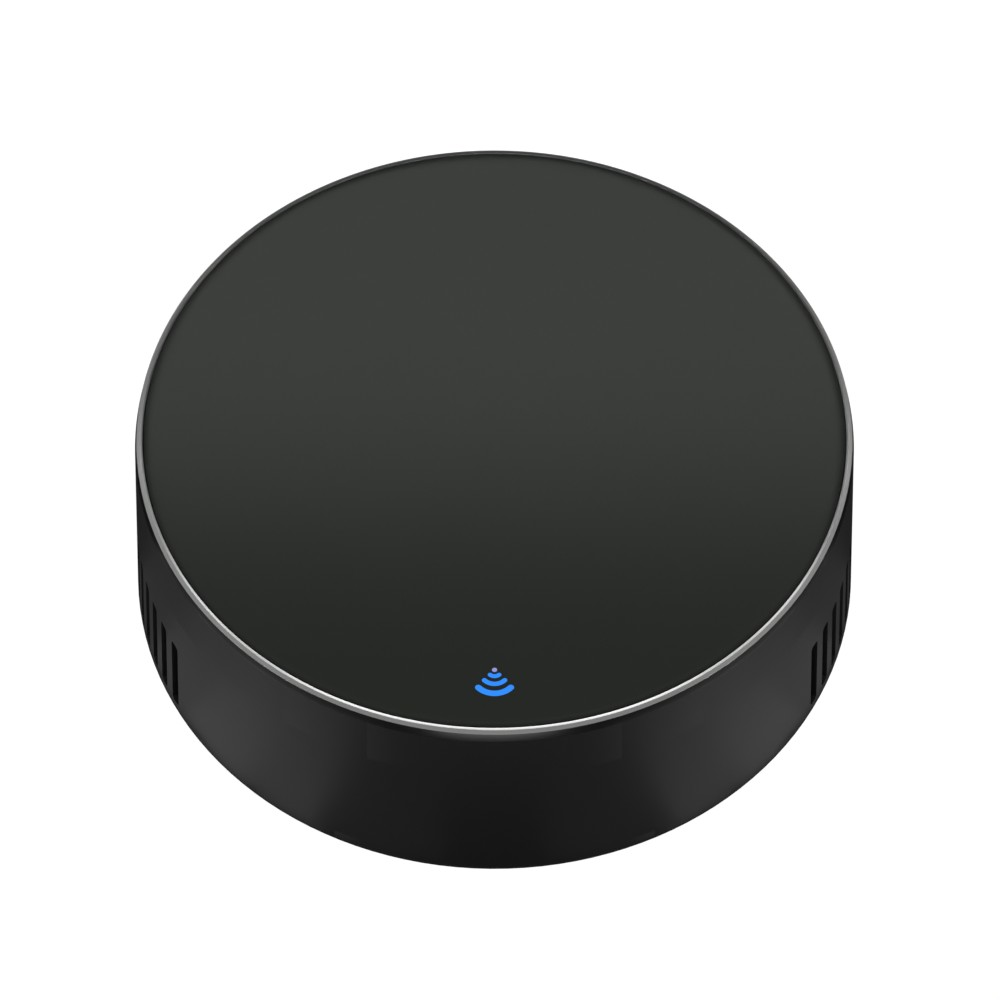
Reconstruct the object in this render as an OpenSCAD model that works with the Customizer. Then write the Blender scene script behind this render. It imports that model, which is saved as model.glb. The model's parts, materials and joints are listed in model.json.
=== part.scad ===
// Round infrared blaster: a tabletop puck with a flat dark top plate in a bevelled trim ring,
// a slotted outer shell, a screwed base on a rubber foot, and one board inside.
// Lengths are in millimetres. The table is at z = 0, the front faces -Y and the socket faces +Y.

/* [Body] */
// Outer diameter of the round body
body_d = 66; // [65:0.5:74]
// Height from the table to the face of the top plate
body_h = 22.5; // [22:0.25:28]
// Thickness of the outer shell's wall
wall_t = 1.8; // [1.6:0.1:2.1]
// Bevel along the shell's bottom edge
edge_bevel = 0.4; // [0.2:0.05:0.6]

/* [Side slots] */
// Number of slots on each side
slot_count = 14; // [8:1:16]
// Spacing of the slots along the outside
slot_pitch = 2.4; // [2:0.1:2.6]
// Width of a slot
slot_w = 1.2; // [0.9:0.05:1.5]
// Height of a slot
slot_h = 9.2; // [6:0.2:10]
// Corner radius at a slot's ends
slot_corner_r = 0.4; // [0.2:0.05:0.44]
// Height of the slots above the shell's bottom edge
slot_lift = 1.4; // [1:0.1:2.4]

/* [Trim ring] */
// Height of the ring's steep outer band
band_h = 0.95; // [0.7:0.05:1.2]
// How far the band leans inwards over its height
band_lean = 0.15; // [0.05:0.01:0.2]
// Height of the bevel above the band
bevel_h = 0.3; // [0.2:0.05:0.5]
// Radial width of the bevel
bevel_w = 0.33; // [0.25:0.01:0.45]
// Width of the polished lip beside the plate
lip_w = 0.22; // [0.15:0.01:0.35]
// Thickness of the ledge that carries the plate
ledge_t = 0.8; // [0.6:0.05:1.1]
// Wall of the spigot that drops inside the shell
spigot_t = 0.75; // [0.6:0.05:0.8]
// Depth of the spigot below the ledge
spigot_h = 1.5; // [1:0.1:2.2]
// Width of the shell's own lip outside the ring's step
shell_lip_w = 0.4; // [0.3:0.05:0.45]

/* [Top plate] */
// Thickness of the top plate
plate_t = 1.2; // [1:0.05:1.25]
// Open seam round the plate
plate_seam = 0.1; // [0.05:0.01:0.15]
// Thickness of the adhesive ring under the plate
tape_t = 0.1; // [0.08:0.01:0.15]
// Width of the adhesive ring
tape_w = 1.4; // [1:0.1:1.5]

/* [Signal icon] */
// Distance from the plate's edge to the middle of the dot
dot_inset = 6.3; // [6:0.1:7]
// Diameter of the dot
dot_d = 0.47; // [0.4:0.01:0.6]
// Centreline radius of the small arc
small_arc_r = 0.6; // [0.55:0.01:0.7]
// Centreline radius of the middle arc
mid_arc_r = 1.25; // [1.15:0.01:1.4]
// Centreline radius of the large arc
large_arc_r = 2; // [1.9:0.01:2.1]
// Stroke of the small arc
small_arc_t = 0.43; // [0.35:0.01:0.45]
// Stroke of the middle arc
mid_arc_t = 0.47; // [0.4:0.01:0.55]
// Stroke of the large arc
large_arc_t = 0.6; // [0.5:0.01:0.65]
// Drop from the dot to the lowest point of the small arc's centreline
small_arc_drop = 0.7; // [0.65:0.01:0.75]
// Drop from the dot to the lowest point of the middle arc's centreline
mid_arc_drop = 1.55; // [1.45:0.01:1.65]
// Drop from the dot to the lowest point of the large arc's centreline
large_arc_drop = 2.6; // [2.5:0.01:2.65]

/* [Base and foot] */
// Thickness of the base cover
base_t = 2; // [1.8:0.1:2.4]
// Height that the rubber foot stands proud of the base
foot_proud = 0.3; // [0.2:0.05:0.5]
// Depth of the foot's groove in the base
foot_groove = 0.8; // [0.6:0.05:1]
// Width of the rubber foot ring
foot_w = 8; // [7.4:0.1:9]
// Plain rim of the base outside the foot
foot_rim = 1.2; // [1:0.1:1.4]
// Bevel on the foot's lower edges
foot_bevel = 0.2; // [0.1:0.05:0.25]
// Radius of the shallow bare recess in the middle of the base
recess_r = 15; // [12:0.5:18]
// Depth of that recess
recess_depth = 0.2; // [0.1:0.05:0.4]

/* [Screws] */
// Diameter of the screw threads
screw_d = 2; // [1.8:0.1:2.2]
// Length of the cover screws under the head
cover_screw_len = 6; // [5:0.5:6.5]
// Length of the board screws under the head
board_screw_len = 4; // [3.5:0.1:4.1]
// Diameter of the screw heads
head_d = 3.9; // [3.6:0.1:4.1]
// Height of the screw heads
head_h = 1.3; // [1:0.1:1.4]
// Radius of the shell's screw bosses
boss_r = 2.6; // [2.3:0.1:2.8]
// Distance from the wall to the middle of a boss
boss_inset = 4.2; // [4:0.1:4.6]

/* [Main board] */
// Thickness of the main board
board_t = 1.2; // [1:0.1:1.6]
// Height of the board's underside above the base cover
board_lift = 3.2; // [3.1:0.1:3.8]
// Gap between the board's edge and the shell's wall
board_gap = 2.2; // [1.8:0.1:2.4]
// Radius of the posts under the board screws
post_r = 2.2; // [1.8:0.1:2.4]

/* [Infrared parts] */
// Diameter of an emitter's clear body
emitter_d = 5; // [4.6:0.1:5.2]
// Diameter of an emitter's flange
emitter_flange_d = 5.8; // [5.4:0.1:6]
// Thickness of an emitter's flange
emitter_flange_t = 1; // [0.8:0.1:1.2]
// Length of an emitter from its flange to the tip of its dome
emitter_len = 8.6; // [8:0.1:9]
// Height of the side emitters' axes above the board
emitter_axis_h = 6.8; // [6.5:0.1:7.4]
// Gap between an emitter's tip and the wall
emitter_tip_gap = 0.8; // [0.5:0.1:1.2]
// Room under the upright emitters' flanges. It and the next size share out the height inside.
upright_lift = 3.5; // [2:0.1:3.8]
// Room over the upright emitters' tips
upright_clear = 2.5; // [2:0.1:3]
// Diameter of the wire leads
lead_d = 0.5; // [0.4:0.05:0.55]
// Spacing of the leads
lead_pitch = 2.54; // [2.3:0.01:2.6]
// Length of lead that shows below the board
lead_stub = 0.9; // [0.7:0.05:1.2]
// Width of the receiver's moulded body
receiver_w = 6; // [5.6:0.1:6.2]
// Thickness of the receiver's moulded body
receiver_t = 3; // [2.6:0.1:3.2]
// Height of the receiver's moulded body
receiver_h = 6.9; // [6.2:0.1:7.2]
// Radius of the receiver's lens
receiver_lens_r = 2.3; // [2:0.1:2.5]
// Height of the receiver's body above the board
receiver_lift = 2; // [1.5:0.1:2.6]

/* [Status light] */
// Width of the light guide, side to side
guide_w = 4.4; // [4.2:0.1:4.6]
// Depth of the light guide, front to back
guide_d = 3.6; // [3.5:0.05:3.7]
// Wall of the opaque shroud round the guide
shroud_t = 0.7; // [0.6:0.05:0.8]
// Length of the status light chip
chip_light_l = 2; // [1.6:0.1:2.2]
// Width of the status light chip
chip_light_w = 1.25; // [1:0.05:1.4]
// Height of the status light chip
chip_light_h = 0.8; // [0.6:0.05:0.9]

/* [Power socket] */
// Outer width of the socket's metal shell
socket_w = 7.5; // [7.4:0.05:7.7]
// Outer height of the socket's metal shell
socket_h = 2.6; // [2.5:0.05:2.7]
// Depth of the socket
socket_l = 5.6; // [5.2:0.1:5.8]
// Sheet thickness of the metal shell
socket_sheet = 0.3; // [0.25:0.01:0.32]
// Width of the slanted lower corners
socket_corner_w = 0.9; // [0.7:0.05:1]
// Height of the slanted lower corners
socket_corner_h = 1.1; // [0.9:0.05:1.2]
// How much wider the flared mouth is on every side
socket_flare = 0.25; // [0.2:0.01:0.3]
// Length of the flared mouth
socket_flare_l = 0.4; // [0.3:0.05:0.5]
// How far the mouth sits inside the body's outline
socket_setback = 0.4; // [0.35:0.05:0.6]

/* [Reset button] */
// Diameter of the button
button_d = 3.2; // [2.8:0.1:3.4]
// Distance from the middle of the back to the button
button_side = 9.5; // [9:0.1:10.2]
// Height of the button's axis above the board
button_axis_h = 2.5; // [2.5:0.05:2.7]
// How far the button stands proud of the shell
button_proud = 0.25; // [0.1:0.05:0.4]
// Diameter of the flange that keeps the button in
button_flange_d = 4.6; // [4.2:0.1:4.8]
// Thickness of that flange
button_flange_t = 0.6; // [0.5:0.05:0.7]
// Outer radius of the guide sleeve inside the wall
sleeve_r = 2.4; // [2.2:0.05:2.5]
// Travel of the button
button_travel = 0.25; // [0.2:0.01:0.35]

/* [Wireless module] */
// Width of the module's board
module_w = 16; // [15:0.1:16.2]
// Length of the module's board
module_l = 24; // [22:0.1:24.4]
// Thickness of the module's board
module_t = 0.8; // [0.6:0.05:1]
// Width of the shield can
shield_w = 12.4; // [11:0.1:13]
// Length of the shield can
shield_l = 15; // [13:0.1:15.5]
// Height of the shield can
shield_h = 2.3; // [1.8:0.1:3]

/* [Hidden] */

// Smoothness of ordinary, wide and thin round shapes
$fn = 64;
wide_fn = 180;
wire_fn = 24;
// Overrun of every cut past the face it leaves
over = 0.5;

// Clearances
fit_gap = 0.05;
base_gap = 0.25;
boss_gap = 0.4;
groove_gap = 0.1;
pilot_gap = 0.05;
hole_gap = 0.2;
counterbore_gap = 0.25;
button_gap = 0.08;
socket_gap = 0.25;
guide_gap = 0.1;
lead_gap = 0.05;
solder_gap = 0.01;

// Levels, from the table up
base_z = foot_proud;
base_top = base_z + base_t;
groove_top = base_z + foot_groove;
head_drop = 0.3;
head_seat = groove_top + head_drop + head_h;
cup_floor_t = 1.2;
cup_top = head_seat + cup_floor_t;
board_z = base_top + board_lift;
board_top = board_z + board_t;
plate_z = body_h - plate_t;
tape_z = plate_z - tape_t;
flange_z = tape_z - ledge_t;
spigot_z = flange_z - spigot_h;
band_z = body_h - bevel_h - band_h;

// Radii, from the outside in
outer_r = body_d / 2;
inner_r = outer_r - wall_t;
pocket_r = outer_r - band_lean - bevel_w - lip_w;
plate_r = pocket_r - plate_seam;
step_r = outer_r - shell_lip_w;
spigot_r = inner_r - fit_gap;
base_r = inner_r - base_gap;
boss_ring_r = inner_r - boss_inset;
board_r = inner_r - board_gap;
foot_r = base_r - foot_rim;

// Bosses and screws
boss_angles = [45, 135, 225, 315];
pilot_spare = 0.4;
boss_roof_t = 0.9;
boss_top = head_seat + cover_screw_len + pilot_spare + boss_roof_t;
web_t = 1.6;
cup_t = 1.1;
screw_r = screw_d / 2;
cross_w = 0.5;
cross_l = 2.2;
cross_depth = 0.7;
board_screw_shares = [[0.776, 0.276], [-0.776, 0.276], [0, -0.586]];
stiffener_r = 10;
stiffener_t = 1.2;
rib_h = 1.3;
rib_angles = [0, 60, 120, 180, 240, 300];

// Emitters round the edge, counted from the middle of the front
side_angles = [-140, -90, -40, 40, 90, 140];
emitter_base_r = inner_r - emitter_tip_gap - emitter_len;
lead_reach = 0.5;
side_lead_r = emitter_base_r - lead_reach;
emitter_z = board_top + emitter_axis_h;
top_emitter_shares = [[0.12, 0.24], [0.12, -0.24]];
upright_room = plate_z - board_top - emitter_len;
upright_stand = upright_room * upright_lift / (upright_lift + upright_clear);
receiver_share = [0.248, -0.758];
receiver_lens_out = 1.4;
receiver_pitch = 2.54;
solder_h = 0.6;
solder_r = 0.75;
solder_tip_r = 0.4;

// Icon and the light behind it
dot_y = -(plate_r - dot_inset);
small_arc_sweep = 43;
wide_arc_sweep = 47.7;
arc_steps = 14;
end_steps = 8;
guide_y = dot_y - (large_arc_drop + large_arc_t / 2 - dot_d / 2) / 2;
guide_lift = 0.2;

// Socket at the back
socket_y = outer_r - socket_setback - socket_l;
socket_block_l = 1;
tongue_w = 4;
tongue_t = 0.6;
tongue_lift = 0.95;
tongue_short = 0.8;
contact_count = 5;
contact_pitch = 0.65;
contact_w = 0.36;
contact_t = 0.12;
contact_short = 0.4;
tail_l = 1.1;
tail_t = 0.2;
tab_l = 0.8;
tab_drop = 0.5;
tab_inset = 0.4;
socket_hole_corner_r = 0.8;

// Button and the switch behind it
button_z = board_top + button_axis_h;
button_r = button_d / 2;
sleeve_stand = 0.9;
sleeve_y = sqrt(pow(inner_r, 2) - pow(button_side + sleeve_r, 2)) - sleeve_stand;
flange_y = sleeve_y - fit_gap - button_flange_t;
button_stem_r = 0.9;
button_stem_l = 0.6;
plunger_y = flange_y - button_stem_l - fit_gap;
plunger_r = 1.5;
plunger_out = 0.6;
plunger_in = 0.7;
cover_t = 0.2;
switch_y = plunger_y - plunger_out - cover_t;
switch_w = 6;
switch_l = 3.5;
switch_h = 4.4;
switch_pin_r = 0.3;
switch_pin_inset = 0.9;
cheek_l = 2.4;

// Wireless module
module_edge_gap = 2.3;
module_x = module_edge_gap + module_w / 2 - side_lead_r;
module_top = board_top + module_t;
shield_sheet = 0.2;
shield_inset = 0.8;
module_chip_w = 5;
module_chip_h = 0.85;
antenna_t = 0.1;
antenna_w = 0.5;
antenna_strokes = 7;
antenna_pitch = 2;
antenna_room = module_l - shield_inset - shield_l;
antenna_l_share = 23 / 41;
antenna_inset_share = 6 / 41;
antenna_l = antenna_room * antenna_l_share;
antenna_inset = antenna_room * antenna_inset_share;

// Power parts
can_share = [0.466, 0.328];
can_r = 3.15;
can_h = 7;
can_base_w = 6.6;
can_base_h = 0.9;
can_corner = 1.4;
can_groove_h = 0.5;
can_groove_depth = 0.25;
can_groove_lift = 1.2;
regulator_share = [0.293, 0.638];
regulator_w = 6.5;
regulator_l = 3.5;
regulator_h = 1.6;
regulator_lead_w = 0.7;
regulator_lead_l = 1.6;
regulator_tab_w = 3;
regulator_pitch = 2.3;
pin_t = 0.25;
inductor_share = [0.052, 0.62];
inductor_w = 4;
inductor_h = 1.9;
inductor_corner = 0.9;
inductor_waist_h = 0.9;
inductor_waist = 0.5;

// Small chips
chip_l = 2;
chip_w = 1.25;
chip_end_l = 0.4;
resistor_h = 0.5;
ceramic_h = 0.9;
resistor_shares = [[0.52, -0.07], [0.52, -0.15], [0.52, -0.38], [0.67, -0.17],
    [0.67, -0.25], [0.67, -0.33], [0.31, 0], [0.31, -0.56]];
ceramic_shares = [[0.5, 0.12], [0.5, 0.05], [0.2, 0.82], [-0.1, 0.62], [-0.1, 0.7], [0.13, 0]];
transistor_shares = [[0.35, -0.12], [0.35, -0.27], [0.35, -0.42], [0.53, -0.27]];
transistor_l = 2.9;
transistor_w = 1.3;
transistor_h = 1;
transistor_lead_w = 0.4;
transistor_lead_l = 0.6;
transistor_pitch = 1.9;

// Where the wire leads pass through the board
side_lead_points = [for (a = side_angles, s = [-1, 1])
    [side_lead_r * sin(a) + s * lead_pitch / 2 * cos(a),
     s * lead_pitch / 2 * sin(a) - side_lead_r * cos(a)]];
top_lead_points = [for (p = top_emitter_shares, s = [-1, 1])
    [p[0] * board_r + s * lead_pitch / 2, p[1] * board_r]];
receiver_points = [for (s = [-1, 0, 1])
    [receiver_share[0] * board_r + s * receiver_pitch, receiver_share[1] * board_r]];
switch_points = [for (sx = [-1, 1], sy = [0, 1])
    [sx * (switch_w / 2 - switch_pin_inset) - button_side,
     switch_y - switch_pin_inset - sy * (switch_l - 2 * switch_pin_inset)]];
wire_points = concat(side_lead_points, top_lead_points, receiver_points);

// Colours
shell_black = [0.11, 0.11, 0.11];
plate_black = [0.17, 0.18, 0.17];
trim_grey = [0.45, 0.46, 0.46];
light_blue = [0.17, 0.55, 1];
rubber_black = [0.06, 0.06, 0.06];
steel = [0.68, 0.69, 0.7];
solder_grey = [0.78, 0.79, 0.8];
board_green = [0.05, 0.28, 0.16];
module_black = [0.08, 0.1, 0.14];
gold = [0.85, 0.66, 0.3];
copper = [0.78, 0.45, 0.25];
clear_epoxy = [0.75, 0.8, 0.88];
dark_epoxy = [0.1, 0.08, 0.12];
chip_black = [0.09, 0.09, 0.1];
ceramic_tan = [0.72, 0.6, 0.42];
tape_grey = [0.3, 0.3, 0.3];

// Placing helpers
module at_ring(angle, radius, z) {
    rotate([0, 0, angle]) translate([radius, 0, z]) children();
}

module at_share(share, z) {
    translate([share[0] * board_r, share[1] * board_r, z]) children();
}

module facing_back(x, y, z) {
    translate([x, y, z]) rotate([90, 0, 180]) children();
}

// A rectangle with round corners, about the middle
module round_rect(w, h, r) {
    square([w - 2 * r, h], center = true);
    square([w, h - 2 * r], center = true);
    for (sx = [-1, 1], sy = [-1, 1])
        translate([sx * (w / 2 - r), sy * (h / 2 - r)]) circle(r);
}

// A rectangle with cut corners, about the middle
module cut_rect(w, h, c) {
    polygon([[-w / 2 + c, -h / 2], [w / 2 - c, -h / 2], [w / 2, -h / 2 + c], [w / 2, h / 2 - c],
        [w / 2 - c, h / 2], [-w / 2 + c, h / 2], [-w / 2, h / 2 - c], [-w / 2, -h / 2 + c]]);
}

module block(w, l, h) {
    translate([-w / 2, -l / 2, 0]) cube([w, l, h]);
}

module tube(r_out, r_in, h) {
    difference() {
        cylinder(r = r_out, h = h);
        translate([0, 0, -over]) cylinder(r = r_in, h = h + 2 * over);
    }
}

// Shell: one slotted wall, with the screw bosses and the button's sleeve inside it
module shell_wall() {
    rotate_extrude($fn = wide_fn) polygon([
        [inner_r, base_z],
        [outer_r - edge_bevel, base_z],
        [outer_r, base_z + edge_bevel],
        [outer_r, band_z],
        [step_r, band_z],
        [step_r, flange_z],
        [inner_r, flange_z]]);
}

module shell_boss() {
    difference() {
        union() {
            translate([0, 0, cup_top]) cylinder(r = boss_r, h = boss_top - cup_top);
            translate([0, -web_t / 2, cup_top])
                cube([boss_inset + wall_t / 2, web_t, boss_top - cup_top]);
        }
        translate([0, 0, cup_top - over])
            cylinder(r = screw_r + pilot_gap, h = boss_top - boss_roof_t - cup_top + over);
    }
}

module slot_cuts() {
    step_deg = slot_pitch / outer_r * 180 / PI;
    for (side = [0, 180], i = [0:slot_count - 1])
        rotate([0, 0, side + (i - (slot_count - 1) / 2) * step_deg])
            translate([inner_r - over, 0, base_z + slot_lift + slot_h / 2])
                rotate([90, 0, 90])
                    linear_extrude(wall_t + 2 * over) round_rect(slot_w, slot_h, slot_corner_r);
}

module outer_shell() {
    color(shell_black) difference() {
        union() {
            shell_wall();
            for (a = boss_angles) at_ring(a, boss_ring_r, 0) shell_boss();
            intersection() {
                facing_back(-button_side, sleeve_y, button_z) cylinder(r = sleeve_r, h = outer_r);
                cylinder(r = inner_r + wall_t / 2, h = body_h, $fn = wide_fn);
            }
        }
        slot_cuts();
        facing_back(-button_side, sleeve_y - over, button_z)
            cylinder(r = button_r + button_gap, h = outer_r);
        facing_back(0, socket_y, board_top + socket_h / 2)
            linear_extrude(outer_r)
                round_rect(socket_w + 2 * (socket_flare + socket_gap),
                    socket_h + 2 * (socket_flare + socket_gap), socket_hole_corner_r);
    }
}

// Trim ring: outer band and bevel, polished lip, plate pocket, ledge and locating spigot
module trim_ring() {
    color(trim_grey) rotate_extrude($fn = wide_fn) polygon([
        [outer_r, band_z],
        [outer_r - band_lean, band_z + band_h],
        [outer_r - band_lean - bevel_w, body_h],
        [pocket_r, body_h],
        [pocket_r, tape_z],
        [spigot_r - spigot_t, tape_z],
        [spigot_r - spigot_t, spigot_z],
        [spigot_r, spigot_z],
        [spigot_r, flange_z],
        [step_r - fit_gap, flange_z],
        [step_r - fit_gap, band_z]]);
}

// Icon: a dot and three arcs that open towards the front. An arc's outline runs along its outer
// edge, round one end, back along its inner edge and round the other end.
function on_arc(radius, angle) = radius * [sin(angle), -cos(angle)];

function arc_edge(radius, from, to) =
    [for (i = [0:arc_steps]) on_arc(radius, from + (to - from) * i / arc_steps)];

function arc_end(radius, stroke, angle, side) =
    [for (i = [1:end_steps - 1]) on_arc(radius, angle)
        + side * on_arc(stroke / 2, angle + 180 * i / end_steps)];

module arc_stroke(radius, stroke, sweep) {
    polygon(concat(
        arc_edge(radius + stroke / 2, -sweep, sweep),
        arc_end(radius, stroke, sweep, 1),
        arc_edge(radius - stroke / 2, sweep, -sweep),
        arc_end(radius, stroke, -sweep, -1)));
}

module icon_shape() {
    translate([0, dot_y]) {
        circle(dot_d / 2);
        translate([0, small_arc_r - small_arc_drop])
            arc_stroke(small_arc_r, small_arc_t, small_arc_sweep);
        translate([0, mid_arc_r - mid_arc_drop])
            arc_stroke(mid_arc_r, mid_arc_t, wide_arc_sweep);
        translate([0, large_arc_r - large_arc_drop])
            arc_stroke(large_arc_r, large_arc_t, wide_arc_sweep);
    }
}

module top_plate() {
    color(plate_black) difference() {
        translate([0, 0, plate_z]) cylinder(r = plate_r, h = plate_t, $fn = wide_fn);
        translate([0, 0, plate_z - over]) linear_extrude(plate_t + 2 * over) icon_shape();
    }
}

module icon_inlay() {
    color(light_blue) translate([0, 0, plate_z]) linear_extrude(plate_t) icon_shape();
}

module plate_tape() {
    color(tape_grey) translate([0, 0, tape_z])
        tube(plate_r - plate_seam, plate_r - plate_seam - tape_w, tape_t, $fn = wide_fn);
}

// Base cover with screw cups, board posts, ribs and the foot's groove
module base_cover() {
    color(shell_black) difference() {
        union() {
            translate([0, 0, base_z]) cylinder(r = base_r, h = base_t, $fn = wide_fn);
            for (a = boss_angles)
                at_ring(a, boss_ring_r, base_top - over)
                    cylinder(r = head_d / 2 + counterbore_gap + cup_t, h = cup_top - base_top + over);
            for (p = board_screw_shares)
                at_share(p, base_top - over) cylinder(r = post_r, h = board_lift + over);
            translate([0, 0, base_top - over])
                tube(stiffener_r, stiffener_r - stiffener_t, rib_h + over);
            for (a = rib_angles)
                at_ring(a, stiffener_r - stiffener_t / 2, base_top - over)
                    translate([0, -stiffener_t / 2, 0])
                        cube([foot_r - stiffener_r - foot_rim, stiffener_t, rib_h + over]);
        }
        translate([0, 0, base_z - over])
            tube(foot_r + groove_gap, foot_r - foot_w - groove_gap, foot_groove + over, $fn = wide_fn);
        translate([0, 0, base_z - over])
            cylinder(r = recess_r, h = recess_depth + over, $fn = wide_fn);
        for (a = boss_angles) {
            at_ring(a, boss_ring_r, groove_top - over)
                cylinder(r = head_d / 2 + counterbore_gap, h = head_seat - groove_top + over);
            at_ring(a, boss_ring_r, head_seat - over)
                cylinder(r = screw_r + hole_gap, h = cup_floor_t + 2 * over);
        }
        for (p = board_screw_shares)
            at_share(p, board_top - board_screw_len - hole_gap)
                cylinder(r = screw_r + pilot_gap, h = board_screw_len);
    }
}

module foot_ring() {
    color(rubber_black) rotate_extrude($fn = wide_fn) polygon([
        [foot_r - foot_w + foot_bevel, 0],
        [foot_r - foot_bevel, 0],
        [foot_r, foot_bevel],
        [foot_r, groove_top],
        [foot_r - foot_w, groove_top],
        [foot_r - foot_w, foot_bevel]]);
}

// A cross-head screw, seated at z = 0 with its shank upwards
module screw(len) {
    cylinder(r = screw_r, h = len);
    translate([0, 0, -head_h]) difference() {
        cylinder(r = head_d / 2, h = head_h);
        for (turn = [0, 90])
            rotate([0, 0, turn]) translate([0, 0, -over])
                block(cross_l, cross_w, cross_depth + over);
    }
}

module cover_screws() {
    color(steel) for (a = boss_angles) at_ring(a, boss_ring_r, head_seat) screw(cover_screw_len);
}

module board_screws() {
    color(steel) for (p = board_screw_shares)
        at_share(p, board_top) rotate([180, 0, 0]) screw(board_screw_len);
}

// Main board with its notches and holes
module main_board() {
    color(board_green) difference() {
        translate([0, 0, board_z]) cylinder(r = board_r, h = board_t, $fn = wide_fn);
        translate([0, 0, board_z - over]) {
            for (a = boss_angles)
                at_ring(a, boss_ring_r, 0) cylinder(r = boss_r + boss_gap, h = board_t + 2 * over);
            for (p = board_screw_shares)
                at_share(p, 0) cylinder(r = screw_r + hole_gap, h = board_t + 2 * over);
            for (p = wire_points)
                translate(p) cylinder(r = lead_d / 2 + lead_gap, h = board_t + 2 * over, $fn = wire_fn);
            for (p = switch_points)
                translate(p) cylinder(r = switch_pin_r + lead_gap, h = board_t + 2 * over, $fn = wire_fn);
            for (s = [-1, 1])
                translate([s * (socket_w - socket_sheet) / 2, socket_y + tab_inset + tab_l / 2, 0])
                    block(socket_sheet + 2 * lead_gap, tab_l + 2 * lead_gap, board_t + 2 * over);
        }
    }
}

module solder_ring(wire_r) {
    translate([0, 0, board_z - solder_h]) difference() {
        cylinder(r1 = solder_tip_r + wire_r - lead_d / 2, r2 = solder_r, h = solder_h, $fn = wire_fn);
        translate([0, 0, -over])
            cylinder(r = wire_r + solder_gap, h = solder_h + 2 * over, $fn = wire_fn);
    }
}

module solder_joints() {
    color(solder_grey) {
        for (p = wire_points) translate(p) solder_ring(lead_d / 2);
        for (p = switch_points) translate(p) solder_ring(switch_pin_r);
    }
}

// Status light: chip, clear guide and opaque shroud
module status_light() {
    color(light_blue) translate([0, guide_y, board_top])
        block(chip_light_l, chip_light_w, chip_light_h);
}

module light_guide() {
    guide_z = board_top + chip_light_h + guide_lift;
    color(clear_epoxy) translate([0, guide_y, guide_z])
        block(guide_w, guide_d, plate_z - fit_gap - guide_z);
}

module light_shroud() {
    color(chip_black) translate([0, guide_y, board_top]) difference() {
        block(guide_w + 2 * (guide_gap + shroud_t), guide_d + 2 * (guide_gap + shroud_t),
            tape_z - board_top);
        translate([0, 0, -over])
            block(guide_w + 2 * guide_gap, guide_d + 2 * guide_gap, body_h);
    }
}

// Emitter, standing on z = 0 with its dome upwards
module emitter() {
    barrel_l = emitter_len - emitter_d / 2;
    color(clear_epoxy) {
        cylinder(r = emitter_flange_d / 2, h = emitter_flange_t);
        cylinder(r = emitter_d / 2, h = barrel_l);
        translate([0, 0, barrel_l]) sphere(r = emitter_d / 2);
    }
}

module side_emitter(i) {
    at_ring(side_angles[i] - 90, emitter_base_r, emitter_z) rotate([0, 90, 0]) emitter();
}

module side_leads(i) {
    low = board_z - lead_stub;
    color(solder_grey) at_ring(side_angles[i] - 90, side_lead_r, 0)
        for (s = [-1, 1]) translate([0, s * lead_pitch / 2, 0]) {
            translate([0, 0, low]) cylinder(r = lead_d / 2, h = emitter_z - low, $fn = wire_fn);
            translate([0, 0, emitter_z]) sphere(r = lead_d / 2, $fn = wire_fn);
            translate([0, 0, emitter_z]) rotate([0, 90, 0])
                cylinder(r = lead_d / 2, h = lead_reach, $fn = wire_fn);
        }
}

module top_emitter(i) {
    at_share(top_emitter_shares[i], board_top + upright_stand) emitter();
}

module top_leads(i) {
    color(solder_grey) at_share(top_emitter_shares[i], board_z - lead_stub)
        for (s = [-1, 1]) translate([s * lead_pitch / 2, 0, 0])
            cylinder(r = lead_d / 2, h = lead_stub + board_t + upright_stand, $fn = wire_fn);
}

// Receiver: a dark moulded block with a round lens on its front
module ir_receiver() {
    color(dark_epoxy) at_share(receiver_share, board_top + receiver_lift) {
        block(receiver_w, receiver_t, receiver_h);
        translate([0, -receiver_t / 2, receiver_h / 2]) difference() {
            translate([0, receiver_lens_r - receiver_lens_out, 0]) sphere(r = receiver_lens_r);
            translate([0, receiver_h, -receiver_h]) block(2 * receiver_h, 2 * receiver_h, 2 * receiver_h);
        }
    }
}

module receiver_leads() {
    color(solder_grey) for (p = receiver_points) translate([p[0], p[1], board_z - lead_stub])
        cylinder(r = lead_d / 2, h = lead_stub + board_t + receiver_lift, $fn = wire_fn);
}

// Socket: outline seen from behind, standing on y = 0, with slanted lower corners
module socket_outline(w, h) {
    polygon([[-w / 2, h], [w / 2, h], [w / 2, socket_corner_h], [w / 2 - socket_corner_w, 0],
        [socket_corner_w - w / 2, 0], [-w / 2, socket_corner_h]]);
}

module socket_mouth() {
    translate([0, socket_sheet])
        socket_outline(socket_w - 2 * socket_sheet, socket_h - 2 * socket_sheet);
}

module socket_shell() {
    color(steel) {
        facing_back(0, socket_y, board_top)
            linear_extrude(socket_l) difference() {
                socket_outline(socket_w, socket_h);
                socket_mouth();
            }
        facing_back(0, socket_y + socket_l - socket_flare_l, board_top)
            linear_extrude(socket_flare_l) difference() {
                translate([0, -socket_flare])
                    socket_outline(socket_w + 2 * socket_flare, socket_h + 2 * socket_flare);
                socket_mouth();
            }
        for (s = [-1, 1])
            translate([s * (socket_w - socket_sheet) / 2, socket_y + tab_inset + tab_l / 2,
                board_z - tab_drop])
                block(socket_sheet, tab_l, board_t + tab_drop + socket_corner_h + socket_sheet);
    }
}

module socket_tongue() {
    color(chip_black) {
        facing_back(0, socket_y, board_top) linear_extrude(socket_block_l) socket_mouth();
        translate([-tongue_w / 2, socket_y, board_top + socket_sheet + tongue_lift])
            cube([tongue_w, socket_l - tongue_short, tongue_t]);
    }
}

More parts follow.
